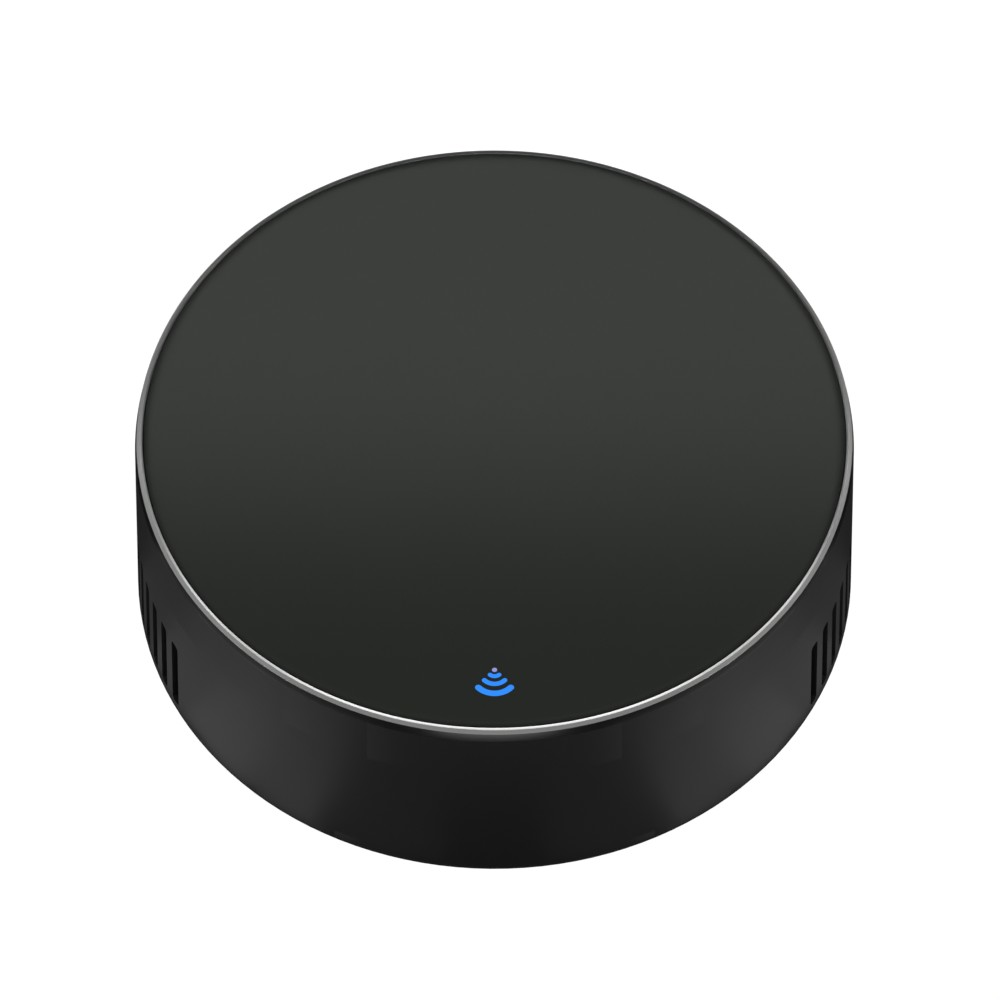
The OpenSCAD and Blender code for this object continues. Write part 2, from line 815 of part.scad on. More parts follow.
module socket_contacts() {
    color(gold) for (i = [0:contact_count - 1]) {
        x = (i - (contact_count - 1) / 2) * contact_pitch - contact_w / 2;
        translate([x, socket_y + socket_block_l,
            board_top + socket_sheet + tongue_lift - contact_t])
            cube([contact_w, socket_l - socket_block_l - tongue_short - contact_short, contact_t]);
        translate([x, socket_y - tail_l, board_top]) cube([contact_w, tail_l, tail_t]);
    }
}

// Reset button: curved face, shaft, retaining flange and stem
module reset_button() {
    color(shell_black) {
        intersection() {
            facing_back(-button_side, flange_y, button_z) cylinder(r = button_r, h = outer_r);
            cylinder(r = outer_r + button_proud, h = body_h, $fn = wide_fn);
        }
        facing_back(-button_side, flange_y, button_z)
            cylinder(r = button_flange_d / 2, h = button_flange_t);
        facing_back(-button_side, flange_y - button_stem_l, button_z)
            cylinder(r = button_stem_r, h = button_stem_l + button_flange_t);
    }
}

module switch_body() {
    color(chip_black) difference() {
        translate([-button_side, switch_y - switch_l / 2, board_top])
            block(switch_w, switch_l, switch_h);
        facing_back(-button_side, switch_y - plunger_in - button_travel - fit_gap, button_z)
            cylinder(r = plunger_r + button_gap, h = switch_l);
    }
}

module switch_cover() {
    color(steel) difference() {
        union() {
            translate([-button_side, switch_y + cover_t / 2, board_top])
                block(switch_w + 2 * cover_t, cover_t, switch_h);
            for (s = [-1, 1])
                translate([s * (switch_w + cover_t) / 2 - button_side, switch_y - cheek_l / 2,
                    board_top])
                    block(cover_t, cheek_l + cover_t, switch_h);
        }
        facing_back(-button_side, switch_y - over, button_z)
            cylinder(r = plunger_r + button_gap, h = cover_t + 2 * over);
    }
}

module switch_plunger() {
    color(shell_black) facing_back(-button_side, switch_y - plunger_in, button_z)
        cylinder(r = plunger_r, h = plunger_in + cover_t + plunger_out);
}

module switch_pins() {
    color(solder_grey) for (p = switch_points) translate([p[0], p[1], board_z - lead_stub])
        cylinder(r = switch_pin_r, h = lead_stub + board_t, $fn = wire_fn);
}

// Wireless module: board, shield can, chip and printed antenna
module module_board() {
    color(module_black) translate([module_x, 0, board_top]) block(module_w, module_l, module_t);
}

module module_shield() {
    color(steel) translate([module_x, (module_l - shield_l) / 2 - shield_inset, module_top])
        difference() {
            block(shield_w, shield_l, shield_h);
            translate([0, 0, -over])
                block(shield_w - 2 * shield_sheet, shield_l - 2 * shield_sheet,
                    shield_h - shield_sheet + over);
        }
}

module module_chip() {
    color(chip_black) translate([module_x, (module_l - shield_l) / 2 - shield_inset, module_top])
        block(module_chip_w, module_chip_w, module_chip_h);
}

module module_antenna() {
    half_w = (antenna_strokes - 1) / 2 * antenna_pitch;
    color(copper) translate([module_x, antenna_inset - module_l / 2, module_top])
        linear_extrude(antenna_t) {
            for (i = [0:antenna_strokes - 1])
                translate([i * antenna_pitch - half_w - antenna_w / 2, 0])
                    square([antenna_w, antenna_l]);
            for (i = [0:antenna_strokes - 2])
                translate([i * antenna_pitch - half_w, i % 2 * (antenna_l - antenna_w)])
                    square([antenna_pitch, antenna_w]);
        }
}

// Power parts
module regulator_body() {
    color(chip_black) at_share(regulator_share, board_top)
        block(regulator_w, regulator_l, regulator_h);
}

module regulator_leads() {
    out = (regulator_l + regulator_lead_l) / 2;
    color(solder_grey) at_share(regulator_share, board_top) {
        for (i = [-1, 0, 1])
            translate([i * regulator_pitch, -out, 0])
                block(regulator_lead_w, regulator_lead_l, pin_t);
        translate([0, out, 0]) block(regulator_tab_w, regulator_lead_l, pin_t);
    }
}

module capacitor_can() {
    can_z = board_top + can_base_h;
    color(steel) at_share(can_share, can_z) difference() {
        cylinder(r = can_r, h = can_h);
        translate([0, 0, can_groove_lift])
            tube(can_r + over, can_r - can_groove_depth, can_groove_h);
    }
}

module capacitor_base() {
    color(chip_black) at_share(can_share, board_top)
        linear_extrude(can_base_h) cut_rect(can_base_w, can_base_w, can_corner);
}

module power_inductor() {
    color(chip_black) at_share(inductor_share, board_top) difference() {
        linear_extrude(inductor_h) cut_rect(inductor_w, inductor_w, inductor_corner);
        translate([0, 0, (inductor_h - inductor_waist_h) / 2])
            tube(inductor_w, inductor_w / 2 - inductor_waist, inductor_waist_h);
    }
}

module chip_row(shares, h) {
    for (p = shares) at_share(p, board_top) block(chip_l - 2 * chip_end_l, chip_w, h);
}

module chip_ends(shares, h) {
    for (p = shares, s = [-1, 1])
        at_share(p, board_top) translate([s * (chip_l - chip_end_l) / 2, 0, 0])
            block(chip_end_l, chip_w, h);
}

module chip_resistors() {
    color(chip_black) chip_row(resistor_shares, resistor_h);
}

module ceramic_capacitors() {
    color(ceramic_tan) chip_row(ceramic_shares, ceramic_h);
}

module chip_terminals() {
    color(solder_grey) {
        chip_ends(resistor_shares, resistor_h);
        chip_ends(ceramic_shares, ceramic_h);
    }
}

module driver_transistors() {
    color(chip_black) for (p = transistor_shares)
        at_share(p, board_top) block(transistor_l, transistor_w, transistor_h);
}

module transistor_leads() {
    out = (transistor_w + transistor_lead_l) / 2;
    color(solder_grey) for (p = transistor_shares) at_share(p, board_top) {
        translate([0, out, 0]) block(transistor_lead_w, transistor_lead_l, pin_t);
        for (s = [-1, 1])
            translate([s * transistor_pitch / 2, -out, 0])
                block(transistor_lead_w, transistor_lead_l, pin_t);
    }
}

outer_shell();
trim_ring();
top_plate();
plate_tape();
icon_inlay();
base_cover();
foot_ring();
cover_screws();
main_board();
board_screws();
light_guide();
light_shroud();
status_light();
side_emitter(0);  // side_emitter_1
side_emitter(1);  // side_emitter_2
side_emitter(2);  // side_emitter_3
side_emitter(3);  // side_emitter_4
side_emitter(4);  // side_emitter_5
side_emitter(5);  // side_emitter_6
side_leads(0);  // side_leads_1
side_leads(1);  // side_leads_2
side_leads(2);  // side_leads_3
side_leads(3);  // side_leads_4
side_leads(4);  // side_leads_5
side_leads(5);  // side_leads_6
top_emitter(0);  // top_emitter_1
top_emitter(1);  // top_emitter_2
top_leads(0);  // top_leads_1
top_leads(1);  // top_leads_2
ir_receiver();
receiver_leads();
solder_joints();
socket_shell();
socket_tongue();
socket_contacts();
reset_button();
switch_body();
switch_cover();
switch_plunger();
switch_pins();
module_board();
module_shield();
module_chip();
module_antenna();
regulator_body();
regulator_leads();
capacitor_can();
capacitor_base();
power_inductor();
ceramic_capacitors();
chip_resistors();
chip_terminals();
driver_transistors();
transistor_leads();
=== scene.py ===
import json
import math
import bpy
import numpy as np
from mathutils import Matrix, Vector


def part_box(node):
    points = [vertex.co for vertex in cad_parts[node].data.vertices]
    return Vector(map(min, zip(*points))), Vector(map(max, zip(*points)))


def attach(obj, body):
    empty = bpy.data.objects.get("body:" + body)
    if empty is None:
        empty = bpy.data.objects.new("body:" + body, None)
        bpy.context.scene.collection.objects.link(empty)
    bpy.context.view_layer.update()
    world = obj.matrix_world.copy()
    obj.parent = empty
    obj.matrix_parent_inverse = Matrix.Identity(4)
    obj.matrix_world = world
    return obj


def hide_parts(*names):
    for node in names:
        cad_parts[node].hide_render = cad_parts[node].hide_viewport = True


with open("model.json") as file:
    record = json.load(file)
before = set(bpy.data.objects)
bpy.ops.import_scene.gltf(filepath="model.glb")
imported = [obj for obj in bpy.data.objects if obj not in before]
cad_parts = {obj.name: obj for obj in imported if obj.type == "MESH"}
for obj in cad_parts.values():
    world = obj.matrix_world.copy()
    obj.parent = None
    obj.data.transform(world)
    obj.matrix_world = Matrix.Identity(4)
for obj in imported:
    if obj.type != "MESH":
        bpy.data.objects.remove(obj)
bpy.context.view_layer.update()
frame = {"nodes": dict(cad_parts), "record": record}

# Round infrared blaster. Lengths are in metres, angles in degrees, the front faces -Y.
mm = 0.001
nodes = frame["nodes"]
slotOf = {part["node"]: part["material_slot"] for part in frame["record"]["subparts"]}


# Small helpers for node trees

def mathNode(tree, operation, first, second=None, clamp=False):
    node = tree.nodes.new("ShaderNodeMath")
    node.operation = operation
    node.use_clamp = clamp
    for socket, value in zip(node.inputs, (first, second)):
        if value is None:
            continue
        if isinstance(value, (int, float)):
            socket.default_value = value
        else:
            tree.links.new(value, socket)
    return node.outputs[0]


def plainShader(tree, kind, color):
    node = tree.nodes.new(kind)
    node.inputs["Color"].default_value = (*color, 1)
    return node.outputs[0]


def mixShaders(tree, factor, first, second):
    node = tree.nodes.new("ShaderNodeMixShader")
    if isinstance(factor, float):
        node.inputs["Fac"].default_value = factor
    else:
        tree.links.new(factor, node.inputs["Fac"])
    tree.links.new(first, node.inputs[1])
    tree.links.new(second, node.inputs[2])
    return node.outputs[0]


def linear(red, green, blue):
    # Turns a screen colour of 0 to 255 into the linear colour that a shader takes
    steps = [value / 255 for value in (red, green, blue)]
    return tuple(s / 12.92 if s <= 0.04045 else ((s + 0.055) / 1.055) ** 2.4 for s in steps)


# Camera: the angle, lens and framing that fit the photograph's outline

view = {
    "elevation": 55.02,      # of the line from the middle of the underside to the camera
    "distance": 2.0,
    "lens": 777.7,
    "sensor": 36,
    "bottom": 0.3 * mm,      # the shell's lower edge
    "aimUp": 7.09 * mm,      # the camera looks this far above that middle, up the picture
    "aimAcross": 0.51 * mm,  # and to its right
    "near": 0.01,
    "far": 20,
}


def makeCamera():
    camera = bpy.data.objects.new("camera", bpy.data.cameras.new("camera"))
    camera.data.type = "PERSP"
    camera.data.lens = view["lens"]
    camera.data.sensor_width = view["sensor"]
    camera.data.dof.use_dof = False
    camera.data.clip_start = view["near"]
    camera.data.clip_end = view["far"]
    tilt = math.radians(view["elevation"])
    middle = Vector((0, 0, view["bottom"]))
    place = middle + view["distance"] * Vector((0, -math.cos(tilt), math.sin(tilt)))
    aim = middle + Vector((view["aimAcross"], math.sin(tilt) * view["aimUp"], math.cos(tilt) * view["aimUp"]))
    camera.location = place
    camera.rotation_euler = (aim - place).to_track_quat("-Z", "Y").to_euler()
    bpy.context.scene.collection.objects.link(camera)
    bpy.context.scene.camera = camera


# Lights: azimuth is counted from the front, and power is in watts. A panel faces the part, unless
# facing gives its own lean: -90 faces straight up. It is placed round the origin, unless aim is given.

studio = {
    "plateBeam": dict(azimuth=180, elevation=55.6, distance=0.42, wide=0.14, high=0.055, power=0.00076,
                      spread=5, aim=(0, 0.0265, 0.0225)),
    "overTop": dict(azimuth=0, elevation=88, distance=0.45, wide=0.40, high=0.13, power=0.38),
    "front": dict(azimuth=0, elevation=38, distance=0.45, wide=0.14, high=0.08, power=0.25),
    "rimLeft": dict(azimuth=-107, elevation=56, distance=0.45, wide=0.08, high=0.06, power=0.05),
    "rimRight": dict(azimuth=107, elevation=56, distance=0.45, wide=0.08, high=0.06, power=0.05),
    "rimLeftLow": dict(azimuth=-122, elevation=28, distance=0.45, wide=0.08, high=0.06, power=0.11),
    "rimRightLow": dict(azimuth=122, elevation=28, distance=0.45, wide=0.08, high=0.06, power=0.11),
    "footlight": dict(azimuth=0, elevation=2, distance=0.068, wide=0.03, high=0.02, power=0.0026,
                      facing=-60),
    "lowLeft": dict(azimuth=-60, elevation=6, distance=0.35, wide=0.07, high=0.05, power=0.88),
    "lowRight": dict(azimuth=60, elevation=6, distance=0.35, wide=0.07, high=0.05, power=0.88),
    "sideLeft": dict(azimuth=-90, elevation=6, distance=0.35, wide=0.09, high=0.05, power=0.16),
    "sideRight": dict(azimuth=90, elevation=6, distance=0.35, wide=0.09, high=0.05, power=0.16),
    "below": dict(azimuth=0, elevation=-90, distance=0.5, wide=0.05, high=0.05, power=2.5),
    "backCard": dict(azimuth=180, elevation=0.6, distance=0.047, wide=0.05, high=0.02, power=0.006,
                     facing=-90),
}

# Small cards lie just above the floor round the wall and face up, on both sides. The wall mirrors
# them to the camera.

wallCards = {
    "places": ((20, 0.06), (35, 0.34), (50, 0.43), (65, 0.27), (80, 0.10)),  # azimuth, milliwatts
    "distance": 0.0425,
    "elevation": 0.2,
    "wide": 0.014,
    "high": 0.018,
    "facing": -90,
}


def makeLight(name, light):
    lamp = bpy.data.lights.new(name, "AREA")
    lamp.shape = "RECTANGLE"
    lamp.size = light["wide"]
    lamp.size_y = light["high"]
    lamp.energy = light["power"]
    lamp.spread = math.radians(light.get("spread", 180))
    turn = math.radians(light["azimuth"])
    rise = math.radians(light["elevation"])
    facing = math.radians(light.get("facing", light["elevation"]))
    aim = np.array(light.get("aim", (0, 0, 0)))
    holder = bpy.data.objects.new(name, lamp)
    holder.location = aim + light["distance"] * np.array([
        math.sin(turn) * math.cos(rise), -math.cos(turn) * math.cos(rise), math.sin(rise)])
    holder.rotation_euler = (math.radians(90) - facing, 0, turn)
    holder.visible_camera = False
    bpy.context.scene.collection.objects.link(holder)


def makeLights():
    for name, light in studio.items():
        makeLight(name, light)
    for side in (-1, 1):
        for azimuth, milliwatts in wallCards["places"]:
            makeLight("wallCard", dict(wallCards, azimuth=side * azimuth, power=milliwatts / 1000))


# Floor and surroundings: white to the camera, and dim in reflections

room = {
    "floorHalf": 1.5,
    "floorShade": (1.135, 1.135, 1.135),
    "paperShare": 0.12,       # of the floor's look, the rest glows
    "paper": (0.85, 0.85, 0.85),
    "reflectedFloor": (0.005, 0.005, 0.005),
    "reflectedRoom": (0.02, 0.02, 0.02),
}


def makeFloor():
    # Shadow rays and rays from below pass through, so that the lamp below lights the underside
    half = room["floorHalf"]
    corners = [(-half, -half, 0), (half, -half, 0), (half, half, 0), (-half, half, 0)]
    mesh = bpy.data.meshes.new("floor")
    mesh.from_pydata(corners, [], [(0, 1, 2, 3)])
    floor = bpy.data.objects.new("floor", mesh)
    bpy.context.scene.collection.objects.link(floor)
    material = bpy.data.materials.new("paleFloor")
    material.use_nodes = True
    tree = material.node_tree
    tree.nodes.clear()
    path = tree.nodes.new("ShaderNodeLightPath")
    side = tree.nodes.new("ShaderNodeNewGeometry")
    glow = plainShader(tree, "ShaderNodeEmission", room["floorShade"])
    paper = plainShader(tree, "ShaderNodeBsdfDiffuse", room["paper"])
    dim = plainShader(tree, "ShaderNodeEmission", room["reflectedFloor"])
    seen = mixShaders(tree, room["paperShare"], glow, paper)
    byRay = mixShaders(tree, path.outputs["Is Camera Ray"], dim, seen)
    through = mathNode(tree, "MAXIMUM", side.outputs["Backfacing"], path.outputs["Is Shadow Ray"])
    clear = tree.nodes.new("ShaderNodeBsdfTransparent")
    bySide = mixShaders(tree, through, byRay, clear.outputs[0])
    tree.links.new(bySide, tree.nodes.new("ShaderNodeOutputMaterial").inputs["Surface"])
    mesh.materials.append(material)


def makeWorld():
    world = bpy.data.worlds.new("studio")
    world.use_nodes = True
    tree = world.node_tree
    tree.nodes.clear()
    path = tree.nodes.new("ShaderNodeLightPath")
    dim = plainShader(tree, "ShaderNodeBackground", room["reflectedRoom"])
    pale = plainShader(tree, "ShaderNodeBackground", room["floorShade"])
    byRay = mixShaders(tree, path.outputs["Is Camera Ray"], dim, pale)
    tree.links.new(byRay, tree.nodes.new("ShaderNodeOutputWorld").inputs["Surface"])
    bpy.context.scene.world = world
    bpy.context.scene.view_settings.view_transform = "Standard"


# Shared shader groups. Each puts out a height or a mask that varies over the surface.

def newGroup(name, inputs, outputs):
    tree = bpy.data.node_groups.new(name, "ShaderNodeTree")
    for label, kind, value in inputs:
        socket = tree.interface.new_socket(name=label, in_out="INPUT", socket_type=kind)
        if value is not None:
            socket.default_value = value
    for label, kind in outputs:
        tree.interface.new_socket(name=label, in_out="OUTPUT", socket_type=kind)
    return tree, tree.nodes.new("NodeGroupInput"), tree.nodes.new("NodeGroupOutput")


def scaled(tree, vector, amount):
    node = tree.nodes.new("ShaderNodeVectorMath")
    node.operation = "SCALE"
    tree.links.new(vector, node.inputs[0])
    if isinstance(amount, (int, float)):
        node.inputs["Scale"].default_value = amount
    else:
        tree.links.new(amount, node.inputs["Scale"])
    return node.outputs[0]


def noise(tree, vector, detail, roughness=0.5):
    node = tree.nodes.new("ShaderNodeTexNoise")
    node.inputs["Scale"].default_value = 1
    node.inputs["Detail"].default_value = detail
    node.inputs["Roughness"].default_value = roughness
    tree.links.new(vector, node.inputs["Vector"])
    return node.outputs["Fac"]


mould = {
    "size": 0.35 * mm,       # of a grain, where a material doesn't give its own
    "grainDetail": 2.0,
    "finer": 3.1,            # the second noise is this many times finer
    "finerDetail": 1.0,
    "finerShare": 0.35,
    "smudgesPerMetre": 90.0,
    "smudgeDetail": 4.0,
    "smudgeRoughness": 0.6,
    "smudgeFrom": 0.42,      # the part of the broad noise above this shows as a smudge
    "smudgeGain": 4.0,
}


def makeMouldGrain():
    # Spark-eroded mould texture: noise plus a share of finer noise. The smudge mask is broad noise.
    tree, start, end = newGroup(
        "mouldGrain",
        [("Vector", "NodeSocketVector", None), ("Size", "NodeSocketFloat", mould["size"])],
        [("Height", "NodeSocketFloat"), ("Smudge", "NodeSocketFloat")])
    place = start.outputs["Vector"]
    perMetre = mathNode(tree, "DIVIDE", 1.0, start.outputs["Size"])
    finerPerMetre = mathNode(tree, "MULTIPLY", perMetre, mould["finer"])
    coarse = noise(tree, scaled(tree, place, perMetre), mould["grainDetail"])
    fine = noise(tree, scaled(tree, place, finerPerMetre), mould["finerDetail"])
    height = mathNode(tree, "ADD", coarse, mathNode(tree, "MULTIPLY", fine, mould["finerShare"]))
    tree.links.new(height, end.inputs["Height"])
    broad = noise(tree, scaled(tree, place, mould["smudgesPerMetre"]), mould["smudgeDetail"],
                  mould["smudgeRoughness"])
    above = mathNode(tree, "SUBTRACT", broad, mould["smudgeFrom"])
    smudge = mathNode(tree, "MULTIPLY", above, mould["smudgeGain"], clamp=True)
    tree.links.new(smudge, end.inputs["Smudge"])
    return tree


turning = {
    "pitch": 0.06 * mm,      # of the marks, where a material doesn't give its own
    "detail": 3.0,
    "roughness": 0.7,
}


def makeTurnedRings():
    # Lathe marks: noise read along the radius and the height only, so it runs round the axis
    tree, start, end = newGroup(
        "turnedRings",
        [("Vector", "NodeSocketVector", None), ("Pitch", "NodeSocketFloat", turning["pitch"])],
        [("Height", "NodeSocketFloat")])
    split = tree.nodes.new("ShaderNodeSeparateXYZ")
    tree.links.new(start.outputs["Vector"], split.inputs[0])
    across = mathNode(tree, "POWER", split.outputs["X"], 2.0)
    along = mathNode(tree, "POWER", split.outputs["Y"], 2.0)
    radius = mathNode(tree, "SQRT", mathNode(tree, "ADD", across, along))
    joined = tree.nodes.new("ShaderNodeCombineXYZ")
    tree.links.new(mathNode(tree, "DIVIDE", radius, start.outputs["Pitch"]), joined.inputs["X"])
    tree.links.new(mathNode(tree, "DIVIDE", split.outputs["Z"], start.outputs["Pitch"]), joined.inputs["Z"])
    marks = noise(tree, joined.outputs[0], turning["detail"], turning["roughness"])
    tree.links.new(marks, end.inputs["Height"])
    return tree


wiring = {
    "tracksPerMetre": 420.0,
    "trackRandomness": 0.75,
    "trackWidth": 0.06,      # as a share of a cell
    "padsPerMetre": 300.0,
    "padRandomness": 0.9,
    "padRadius": 0.11,       # as a share of a cell
}


def makeCopperTraces():
    # Board wiring: the borders of one set of cells give tracks, and the middles of another give pads
    tree, start, end = newGroup(
        "copperTraces",
        [("Vector", "NodeSocketVector", None)],
        [("Track", "NodeSocketFloat"), ("Pad", "NodeSocketFloat")])

    def cells(perMetre, randomness, feature):
        node = tree.nodes.new("ShaderNodeTexVoronoi")
        node.feature = feature
        node.inputs["Scale"].default_value = 1
        node.inputs["Randomness"].default_value = randomness
        tree.links.new(scaled(tree, start.outputs["Vector"], perMetre), node.inputs["Vector"])
        return node.outputs["Distance"]

    borders = cells(wiring["tracksPerMetre"], wiring["trackRandomness"], "DISTANCE_TO_EDGE")
    middles = cells(wiring["padsPerMetre"], wiring["padRandomness"], "F1")
    tree.links.new(mathNode(tree, "LESS_THAN", borders, wiring["trackWidth"]), end.inputs["Track"])
    tree.links.new(mathNode(tree, "LESS_THAN", middles, wiring["padRadius"]), end.inputs["Pad"])
    return tree


mouldGrain = makeMouldGrain()
turnedRings = makeTurnedRings()
copperTraces = makeCopperTraces()
print("shader groups made")


# Materials. A Finish is one Principled material, with Object coordinates to hand.

class Finish:

    def __init__(self, name, color, roughness, metallic=0.0, ior=1.5, specular=0.5):
        self.material = bpy.data.materials.new(name)
        self.material.use_nodes = True
        self.tree = self.material.node_tree
        self.shader = self.tree.nodes["Principled BSDF"]
        self.shader.inputs["Base Color"].default_value = (*color, 1)
        self.shader.inputs["Roughness"].default_value = roughness
        self.shader.inputs["Metallic"].default_value = metallic
        self.shader.inputs["IOR"].default_value = ior
        self.shader.inputs["Specular IOR Level"].default_value = specular
        self.place = self.tree.nodes.new("ShaderNodeTexCoord").outputs["Object"]

    def group(self, tree, **values):
        node = self.tree.nodes.new("ShaderNodeGroup")
        node.node_tree = tree
        self.tree.links.new(self.place, node.inputs["Vector"])
        for label, value in values.items():
            node.inputs[label].default_value = value
        return node

    def feed(self, output, socket):
        self.tree.links.new(output, self.shader.inputs[socket])

    def bump(self, height, depth):
        node = self.tree.nodes.new("ShaderNodeBump")
        node.inputs["Strength"].default_value = 1
        node.inputs["Distance"].default_value = depth
        self.tree.links.new(height, node.inputs["Height"])
        self.feed(node.outputs[0], "Normal")

    def ramp(self, value, start, end, low, high, smooth=False):
        # Low up to start, high from end on, and even between them
        node = self.tree.nodes.new("ShaderNodeMapRange")
        node.interpolation_type = "SMOOTHSTEP" if smooth else "LINEAR"
        self.tree.links.new(value, node.inputs["Value"])
        node.inputs["From Min"].default_value = start
        node.inputs["From Max"].default_value = end
        node.inputs["To Min"].default_value = low
        node.inputs["To Max"].default_value = high
        return node.outputs[0]

    def blend(self, mask, first, second):
        node = self.tree.nodes.new("ShaderNodeMix")
        node.data_type = "RGBA"
        self.tree.links.new(mask, node.inputs["Factor"])
        for socket, color in ((node.inputs[6], first), (node.inputs[7], second)):
            if isinstance(color, tuple):
                socket.default_value = (*color, 1)
            else:
                self.tree.links.new(color, socket)
        return node.outputs[2]

    def along(self, axis):
        split = self.tree.nodes.new("ShaderNodeSeparateXYZ")
        self.tree.links.new(self.place, split.inputs[0])
        return split.outputs[axis]

    def radius(self):
        flat = self.tree.nodes.new("ShaderNodeVectorMath")
        flat.operation = "MULTIPLY"
        flat.inputs[1].default_value = (1, 1, 0)
        self.tree.links.new(self.place, flat.inputs[0])
        length = self.tree.nodes.new("ShaderNodeVectorMath")
        length.operation = "LENGTH"
        self.tree.links.new(flat.outputs[0], length.inputs[0])
        return length.outputs["Value"]


def mouldedPlastic(name, color, paler, roughness, grain, depth, spread=0.05, specular=0.5):
    finish = Finish(name, color, roughness, specular=specular)
    texture = finish.group(mouldGrain, Size=grain)
    smudge = texture.outputs["Smudge"]
    finish.feed(finish.blend(smudge, color, paler), "Base Color")
    finish.feed(finish.ramp(smudge, 0, 1, roughness - spread, roughness + spread), "Roughness")
    finish.bump(texture.outputs["Height"], depth)
    return finish.material


def turnedMetal(name, color, roughness, pitch, depth, spread=0.05, smudgeGrain=0.2 * mm):
    finish = Finish(name, color, roughness, metallic=1.0)
    smudge = finish.group(mouldGrain, Size=smudgeGrain).outputs["Smudge"]
    finish.feed(finish.ramp(smudge, 0, 1, roughness * (1 - spread), roughness * (1 + spread)), "Roughness")
    finish.bump(finish.group(turnedRings, Pitch=pitch).outputs["Height"], depth)
    return finish.material


def sheetMetal(name, color, darker, roughness, grain, depth, spread=0.2):
    finish = Finish(name, color, roughness, metallic=1.0)
    texture = finish.group(mouldGrain, Size=grain)
    smudge = texture.outputs["Smudge"]
    finish.feed(finish.blend(smudge, color, darker), "Base Color")
    finish.feed(finish.ramp(smudge, 0, 1, roughness * (1 - spread), roughness * (1 + spread)), "Roughness")
    finish.bump(texture.outputs["Height"], depth)
    return finish.material


def boardLaminate(name, varnish, track, bare, roughness=0.32, bareRoughness=0.5, depth=0.02 * mm):
    # Varnish over copper tracks, with bare pads
    finish = Finish(name, varnish, roughness)
    copper = finish.group(copperTraces)
    varnished = finish.blend(copper.outputs["Track"], varnish, track)
    finish.feed(finish.blend(copper.outputs["Pad"], varnished, bare), "Base Color")
    finish.feed(finish.ramp(copper.outputs["Pad"], 0, 1, roughness, bareRoughness), "Roughness")
    finish.bump(copper.outputs["Track"], depth)
    return finish.material


def clearResin(name, color, roughness, ior=1.53, clearness=0.85, grain=0.8 * mm, dulled=1.6):
    finish = Finish(name, color, roughness, ior=ior)
    finish.shader.inputs["Transmission Weight"].default_value = clearness
    smudge = finish.group(mouldGrain, Size=grain).outputs["Smudge"]
    finish.feed(finish.ramp(smudge, 0, 1, roughness, roughness * dulled), "Roughness")
    return finish.material


# Side wall: satin black, with a strip of painted shade along its lower edge, darker and duller

wall = {
    "color": (0.0042, 0.0042, 0.0040),
    "roughness": 0.50,
    "specular": 0.35,
    "paintedShadeStrip": (0.0004, 0.0004, 0.0004),
    "stripRoughness": 1.0,
    "stripTop": 0.95 * mm,   # above the table
    "stripBlend": 0.1 * mm,
    "grain": 0.22 * mm,
    "depth": 0.0012 * mm,
}


def shellPlastic():
    finish = Finish("shellPlastic", wall["color"], wall["roughness"], specular=wall["specular"])
    # Painted shade: below the strip's top the wall colour turns much darker, and the strip is also rougher
    above = finish.ramp(finish.along("Z"), wall["stripTop"] - wall["stripBlend"], wall["stripTop"], 0, 1)
    finish.feed(finish.blend(above, wall["paintedShadeStrip"], wall["color"]), "Base Color")
    finish.feed(finish.ramp(above, 0, 1, wall["stripRoughness"], wall["roughness"]), "Roughness")
    finish.bump(finish.group(mouldGrain, Size=wall["grain"]).outputs["Height"], wall["depth"])
    return finish.material


# Top plate: satin, a little green. Its colour darkens towards the edge as painted shade along the rim, and its
# gloss fades there too.

plate = {
    "color": (0.0330, 0.0388, 0.0303),
    # the painted shade at the very edge
    "shadedEdgeColor": (0.003, 0.0035, 0.003),
    "roughness": 0.34,
    "edgeRoughness": 0.60,
    "glossFades": 31.5 * mm,    # from this radius out to the edge
    "shadeFades": 31.75 * mm,   # the same
    "edge": 32.25 * mm,
    "grain": 0.16 * mm,
    "depth": 0.0008 * mm,
}


def platePlastic():
    finish = Finish("platePlastic", plate["color"], plate["roughness"])
    radius = finish.radius()
    # Painted shade: the colour darkens over the outermost half millimetre to the edge
    towardsShade = finish.ramp(radius, plate["shadeFades"], plate["edge"], 0, 1)
    finish.feed(finish.blend(towardsShade, plate["color"], plate["shadedEdgeColor"]), "Base Color")
    gloss = finish.ramp(radius, plate["glossFades"], plate["edge"], plate["roughness"], plate["edgeRoughness"])
    finish.feed(gloss, "Roughness")
    finish.bump(finish.group(mouldGrain, Size=plate["grain"]).outputs["Height"], plate["depth"])
    return finish.material


# Icon: the arcs glow blue, and the dot at the back end glows paler and more violet

icon = {
    "color": (0.01, 0.03, 0.09),
    "roughness": 0.35,
    "arcs": linear(43, 140, 255),
    "dot": linear(150, 150, 210),
    "arcsEnd": 0.55 * mm,     # in front of the icon's back end
    "dotStart": 0.35 * mm,    # the same
    "glow": 1.0,
}


def litIcon():
    low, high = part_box("icon_inlay")
    finish = Finish("litIcon", icon["color"], icon["roughness"])
    arcsEnd = high.y - icon["arcsEnd"]
    dotStart = high.y - icon["dotStart"]
    atDot = finish.ramp(finish.along("Y"), arcsEnd, dotStart, 0, 1, smooth=True)
    finish.feed(finish.blend(atDot, icon["arcs"], icon["dot"]), "Emission Color")
    finish.shader.inputs["Emission Strength"].default_value = icon["glow"]
    return finish.material


# Trim ring: one lathe profile carried round the axis, with small rounds on the four corners that
# show. From below: a steep dark metal band, a satin bevel and a thin polished lip.

